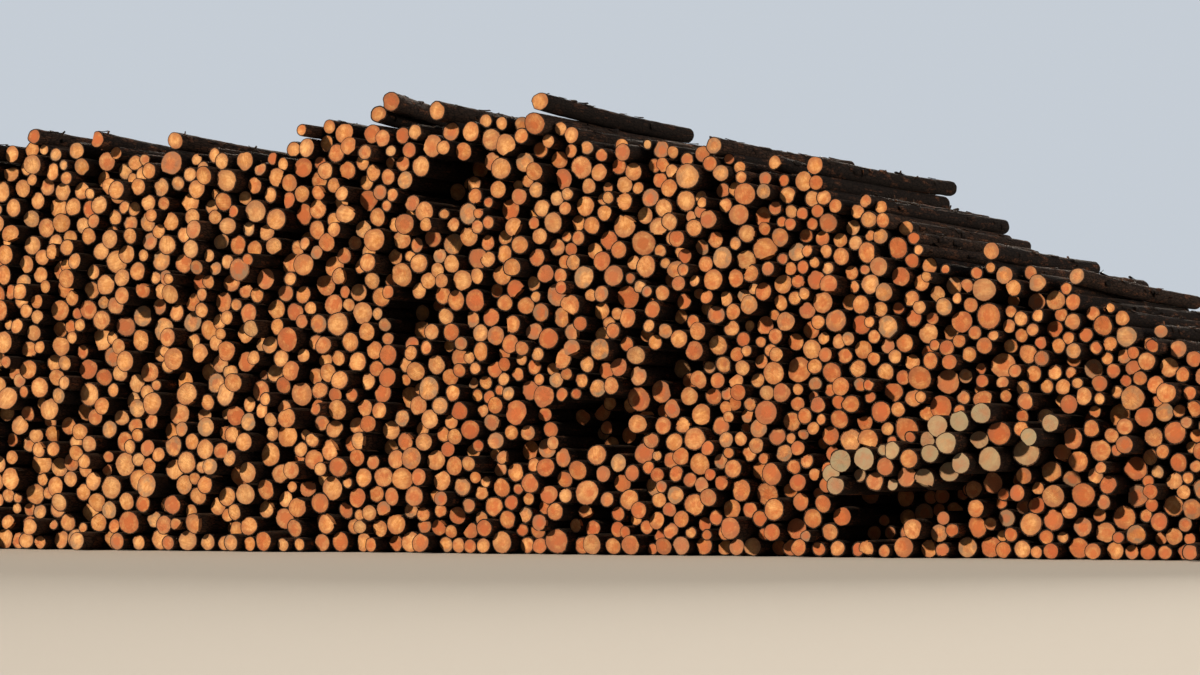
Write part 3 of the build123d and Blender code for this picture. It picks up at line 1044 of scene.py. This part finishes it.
@dataclass
class Litter:
    """What clings to the open logs: branch stubs, dead branches and lifting strips of bark.

    A spread is in radians from the top of a log, lengths and radii are in metres. A lean is the
    share of the way along the log that is added to the way off it, a rise the other way round.
    """

    open_logs: list[LogTable]
    bark: Material
    ends: Material
    along: Span = (0.03, 0.94)
    stubs: int = 330
    stub_spread: float = 1.9
    stub_length: Span = (0.02, 0.075)
    stub_lean: Span = (0.1, 0.7)
    stub_radius: Span = (0.009, 0.022)
    branches: int = 34
    branch_spread: float = 0.7
    branch_length: Span = (0.12, 0.34)
    branch_rise: Span = (0.15, 0.6)
    branch_radius: Span = (0.007, 0.014)
    strips: int = 1500
    strip_spread: float = 1.75
    strip_length: Span = (0.10, 0.38)
    strip_half_width: Span = (0.018, 0.060)
    strip_lift: float = 0.050
    strip_thickness: float = 0.006

    def places(self, count: int, rng: np.random.Generator, spread: float) -> Spots:
        """Draws places on the upper side of the open logs.

        Args:
            count: Number of places.
            rng: Source of chance.
            spread: How far they stray from the top, in radians.

        Returns:
            The places.
        """
        columns = zip(*(list(vars(table).values())[1:] for table in self.open_logs))
        front, back, first, last, sag = (np.concatenate(column) for column in columns)
        chosen = rng.integers(0, len(front), count)
        share = rng.uniform(*self.along, count)
        middle = front[chosen] * (1 - share)[:, None] + back[chosen] * share[:, None]
        middle[:, 2] -= sag[chosen] * np.sin(np.pi * share)
        axis = unit(back[chosen] - front[chosen])
        side = unit(np.cross(axis, [0.0, 0.0, 1.0]))
        radius = first[chosen] * (1 - share) + last[chosen] * share
        angle = np.pi / 2 + rng.uniform(-spread, spread, count)
        return Spots(middle, axis, side, np.cross(side, axis), radius, angle)

    def sticks(self) -> bpy.types.Object:
        """Builds the branch stubs and the dead branches, rooted inside the bark.

        Returns:
            The piece.
        """
        rng = np.random.default_rng(31)
        stub_root, stub_buried, stub_tip, branch_root, branch_tip = 0.86, 0.16, 0.8, 0.88, 0.5
        spots = self.places(self.stubs, rng, self.stub_spread)
        outward = spots.outward()
        length = rng.uniform(*self.stub_length, self.stubs)[:, None]
        lean = unit(outward + spots.axis * rng.uniform(*self.stub_lean, self.stubs)[:, None])
        base = spots.middle + outward * (spots.radius * stub_root)[:, None]
        tip = base + lean * (stub_buried * spots.radius[:, None] + length)
        thick = rng.uniform(*self.stub_radius, self.stubs)
        stubs = LogTable("stubs", base, tip, thick, thick * stub_tip)

        spots = self.places(self.branches, rng, self.branch_spread)
        outward = spots.outward()
        base = spots.middle + outward * (spots.radius * branch_root)[:, None]
        rise = outward * rng.uniform(*self.branch_rise, self.branches)[:, None]
        length = rng.uniform(*self.branch_length, self.branches)[:, None]
        tip = base + unit(rise + spots.axis) * length
        thick = rng.uniform(*self.branch_radius, self.branches)
        branches = LogTable("branches", base, tip, thick, thick * branch_tip)

        tables = ((stubs, 32), (branches, 33))
        batches = [LogBatch(table, Detail.STICK, seed, True).build() for table, seed in tables]
        return Surface.joined(batches).piece("branch_stubs", self.bark, self.ends)

    def bark_strips(self) -> bpy.types.Object:
        """Builds the strips of bark that lift off the logs.

        A strip is a thin sheet that follows the log at one end, rises with the square of the way
        along, and narrows to both ends.

        Returns:
            The piece.
        """
        rng = np.random.default_rng(41)
        count, along, across = self.strips, 6, 3
        rooted, clearance, curl, narrowest = 0.950, 0.002, 0.35, 0.35
        spots = self.places(count, rng, self.strip_spread)
        middle, axis, side, upward, radius, angle = map(per_log, vars(spots).values())
        length = per_log(rng.uniform(*self.strip_length, count))
        half_width = per_log(rng.uniform(*self.strip_half_width, count))
        lift = per_log(self.strip_lift * rng.beta(1.0, 2.4, count))
        share = np.linspace(0, 1, along)[None, :, None]
        wide = np.linspace(-1, 1, across)[None, None, :]
        ragged = rng.uniform(0.7, 1.15, (count, along, 2))
        edge = np.where(wide < 0, ragged[:, :, :1], ragged[:, :, 1:])
        bulge = np.sin(np.pi * np.clip(share, 0.04, 0.96)) ** 0.5
        taper = narrowest + (1 - narrowest) * bulge
        around = angle + wide * half_width * taper * edge / radius
        rise = rooted * radius + clearance + lift * share**2 * (1 - curl * wide**2)
        forward = per_log(np.where(rng.uniform(size=count) < 0.5, 1.0, -1.0))
        shift = np.broadcast_to(forward * (share - 0.3) * length, around.shape)
        cosine, sine = np.cos(around)[..., None], np.sin(around)[..., None]
        layers = [
            middle + axis * shift[..., None] + side * cosine * out + upward * sine * out
            for out in (rise[..., None], (rise + self.strip_thickness)[..., None])
        ]
        size = along * across
        quads = self.sheet_faces(along, across)
        quads = np.where(forward > 0, quads[None], quads[None, :, ::-1])
        u = (around * radius + per_log(rng.uniform(0, 30, count)))[:, None]
        v = (shift + per_log(rng.uniform(0, 30, count)))[:, None]
        uv = np.stack([np.repeat(u, 2, axis=1), np.repeat(v, 2, axis=1)], axis=4)
        uv = np.take_along_axis(uv.reshape(count, 1, -1, 2), quads[..., None], axis=2)
        tone, red, seed = (rng.uniform(*span, count) for span in ((0, 0.4), (0.4, 1), (0, 1)))
        look = np.repeat(np.stack([tone, red, seed], axis=1), 2 * size, axis=0)
        corners = (quads + per_log(np.arange(count) * 2 * size)).reshape(-1, 4)
        points = np.stack(layers, axis=1).reshape(-1, 3)
        no_wood, no_rim = (np.zeros(len(rows), bool) for rows in (corners, points))
        uv = uv.reshape(-1, 4, 2)
        strips = Surface(points, corners, uv, no_wood, no_rim, look, look * 0)
        return strips.piece("bark_strips", self.bark, self.ends)

    @staticmethod
    def sheet_faces(along: int, across: int) -> Array:
        """Numbers the corners of a sheet: under side, upper side and border.

        Args:
            along: Points along a layer.
            across: Points across it.

        Returns:
            Four corners per face.
        """
        size = along * across
        row, column = np.meshgrid(np.arange(along - 1), np.arange(across - 1), indexing="ij")
        corner = (row * across + column).ravel()
        under = np.stack([corner, corner + across, corner + across + 1, corner + 1], axis=1)
        first, last = np.arange(across), size - 2 - np.arange(across - 1)
        there, back = np.arange(2, along + 1) * across - 1, np.arange(along - 2, 0, -1) * across
        loop = np.concatenate([first, there, last, back])
        after = np.roll(loop, -1)
        border = np.stack([loop, after, after + size, loop + size], axis=1)
        return np.concatenate([under, (under + size)[:, ::-1], border])

    def build(self) -> None:
        """Builds both pieces."""
        for piece in (self.sticks(), self.bark_strips()):
            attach(piece, "root")
            log.info("%s: %d faces", piece.name, len(piece.data.polygons))


@dataclass(frozen=True)
class Lamp:
    """A sun: where its light comes from, strength, colour and width in degrees."""

    name: str
    toward: Triple
    strength: float
    colour: Colour
    width: float


@dataclass(frozen=True)
class Studio:
    """Camera, floor and light. Angles are in degrees, lengths in metres, the lens in mm."""

    camera_at: Triple = (26.77, -51.96, 1.10)
    azimuth: float = 27.0
    pitch: float = 2.15
    lens: float = 114.0
    sensor: float = 36.0
    far: float = 500.0
    floor_reach: float = 300.0
    floor_seen: Colour = (0.50, 0.49, 0.47)
    floor_lighting: Colour = (0.10, 0.10, 0.10)
    floor_roughness: float = 0.9
    fill: Colour = (0.58, 0.62, 0.68)
    fill_strength: float = 0.20
    backdrop: Colour = (0.56, 0.61, 0.67)
    lamps: tuple[Lamp, ...] = (
        Lamp("key", (-0.46, -1.0, 0.50), 5.0, (1.0, 0.83, 0.62), 3.5),
        Lamp("back", (-0.45, 1.0, 0.25), 3.2, (1.0, 0.88, 0.74), 24.0),
        Lamp("side", (1.0, 0.10, 0.25), 1.1, (1.0, 0.92, 0.82), 30.0),
    )

    def camera(self) -> None:
        """Sets the camera at the photograph's angle."""
        data = bpy.data.cameras.new("camera")
        data.lens = self.lens
        data.sensor_width = self.sensor
        data.clip_end = self.far
        made = linked("camera", data)
        made.location = self.camera_at
        made.rotation_euler = (math.radians(90 + self.pitch), 0.0, math.radians(self.azimuth))
        bpy.context.scene.camera = made

    def floor(self) -> None:
        """Lays the plain floor, which is pale to the eye but lights the logs from below less."""
        mesh = bpy.data.meshes.new("floor")
        reach = self.floor_reach
        corners = [(-reach, -reach, 0), (reach, -reach, 0), (reach, reach, 0), (-reach, reach, 0)]
        mesh.from_pydata(corners, [], [(0, 1, 2, 3)])
        graph = Graph.material("floor")
        bounced = graph.node("ShaderNodeLightPath").outputs["Is Diffuse Ray"]
        colour = graph.mix(bounced, self.floor_seen, self.floor_lighting)
        surface = {"Base Color": colour, "Roughness": self.floor_roughness}
        shader = graph.node("ShaderNodeBsdfPrincipled", surface)
        graph.node("ShaderNodeOutputMaterial", {0: shader.outputs[0]})
        mesh.materials.append(graph.owner)
        linked("floor", mesh)

    def lights(self) -> None:
        """Sets a warm key lamp, weak lamps for the other sides and a pale surround."""
        for lamp in self.lamps:
            data = bpy.data.lights.new(lamp.name, "SUN")
            data.energy = lamp.strength
            data.angle = math.radians(lamp.width)
            data.color = lamp.colour
            made = linked(lamp.name, data)
            made.rotation_euler = Vector(lamp.toward).to_track_quat("Z", "Y").to_euler()
        world = bpy.data.worlds.new("surround")
        world.use_nodes = True
        world.node_tree.nodes.clear()
        graph = Graph(world.node_tree)
        fill, backdrop = (
            graph.node("ShaderNodeBackground", {"Color": (*colour, 1.0), "Strength": strength})
            for colour, strength in ((self.fill, self.fill_strength), (self.backdrop, 1.0))
        )
        seen = graph.node("ShaderNodeLightPath").outputs["Is Camera Ray"]
        given = {0: seen, 1: fill.outputs[0], 2: backdrop.outputs[0]}
        both = graph.node("ShaderNodeMixShader", given)
        graph.node("ShaderNodeOutputWorld", {0: both.outputs[0]})
        bpy.context.scene.world = world
        bpy.context.scene.view_settings.view_transform = "Standard"


def main() -> None:
    """Builds the pieces, then the studio around them."""
    logging.basicConfig(level=logging.INFO, format="%(message)s")
    bark = BarkFinish().material(BarkPattern().group())
    ends = EndFinish().material(RingPattern().group())
    stack = LogStack(bark, ends)
    stack.build()
    Litter(stack.open_logs, bark, ends).build()
    studio = Studio()
    studio.camera()
    studio.floor()
    studio.lights()


if __name__ == "__main__":
    main()
